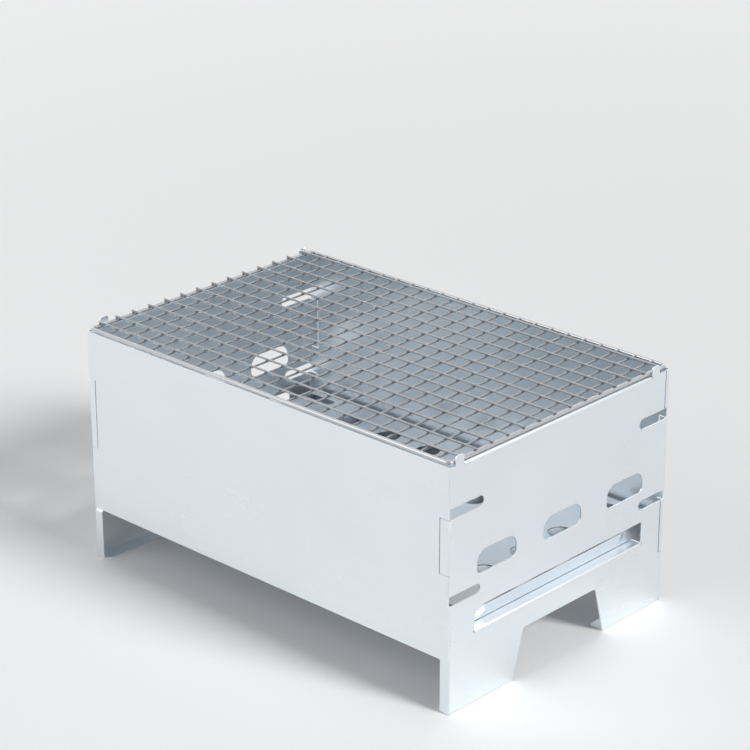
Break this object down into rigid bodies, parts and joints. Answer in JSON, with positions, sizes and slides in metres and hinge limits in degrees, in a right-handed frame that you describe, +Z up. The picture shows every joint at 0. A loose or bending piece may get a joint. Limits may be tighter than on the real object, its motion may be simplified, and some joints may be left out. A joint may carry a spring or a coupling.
{
  "type": "portable charcoal grill",
  "caption": "Small rectangular charcoal grill of bent sheet panels on four legs, with a lift-out ash tray, perforated charcoal plate and wire grate.",
  "frame": {"origin": "centre of the foot outline, on the ground", "axes": "+Z up, +X along the length to the right end panel, -Y to the front long panel"},
  "size_m": [0.351, 0.23, 0.1865],
  "materials": {
    "panel_steel": "satin stainless sheet",
    "tray_steel": "satin stainless sheet",
    "plate_steel": "satin stainless sheet, slightly darker",
    "border_wire_steel": "bright drawn wire",
    "grid_wire_steel": "bright drawn wire"
  },
  "bodies": {
    "body": {"front_panel": "panel_steel", "back_panel": "panel_steel", "left_end_panel": "panel_steel", "right_end_panel": "panel_steel"},
    "tray": {"ash_tray": "tray_steel"},
    "plate": {"charcoal_plate": "plate_steel"},
    "grate": {"grate_border": "border_wire_steel", "grate_long_wire_01": "grid_wire_steel", "grate_long_wire_02": "grid_wire_steel", "grate_long_wire_03": "grid_wire_steel", "grate_long_wire_04": "grid_wire_steel", "grate_long_wire_05": "grid_wire_steel", "grate_long_wire_06": "grid_wire_steel", "grate_long_wire_07": "grid_wire_steel", "grate_long_wire_08": "grid_wire_steel", "grate_long_wire_09": "grid_wire_steel", "grate_long_wire_10": "grid_wire_steel", "grate_long_wire_11": "grid_wire_steel", "grate_long_wire_12": "grid_wire_steel", "grate_long_wire_13": "grid_wire_steel", "grate_long_wire_14": "grid_wire_steel", "grate_cross_wire_01": "grid_wire_steel", "grate_cross_wire_02": "grid_wire_steel", "grate_cross_wire_03": "grid_wire_steel", "grate_cross_wire_04": "grid_wire_steel", "grate_cross_wire_05": "grid_wire_steel", "grate_cross_wire_06": "grid_wire_steel", "grate_cross_wire_07": "grid_wire_steel", "grate_cross_wire_08": "grid_wire_steel", "grate_cross_wire_09": "grid_wire_steel", "grate_cross_wire_10": "grid_wire_steel", "grate_cross_wire_11": "grid_wire_steel", "grate_cross_wire_12": "grid_wire_steel", "grate_cross_wire_13": "grid_wire_steel", "grate_cross_wire_14": "grid_wire_steel", "grate_cross_wire_15": "grid_wire_steel", "grate_cross_wire_16": "grid_wire_steel", "grate_cross_wire_17": "grid_wire_steel", "grate_cross_wire_18": "grid_wire_steel", "grate_cross_wire_19": "grid_wire_steel", "grate_cross_wire_20": "grid_wire_steel", "grate_cross_wire_21": "grid_wire_steel", "grate_cross_wire_22": "grid_wire_steel", "grate_cross_wire_23": "grid_wire_steel"}
  },
  "joints": [
    {"name": "tray_lift", "type": "slide", "parent": "body", "child": "tray", "axis": [0, 0, 1], "range_m": [0, 0.15]},
    {"name": "plate_lift", "type": "slide", "parent": "tray", "child": "plate", "axis": [0, 0, 1], "range_m": [0, 0.0546]},
    {"name": "grate_lift", "type": "slide", "parent": "tray", "child": "grate", "axis": [0, 0, 1], "range_m": [0, 0.015]}
  ]
}
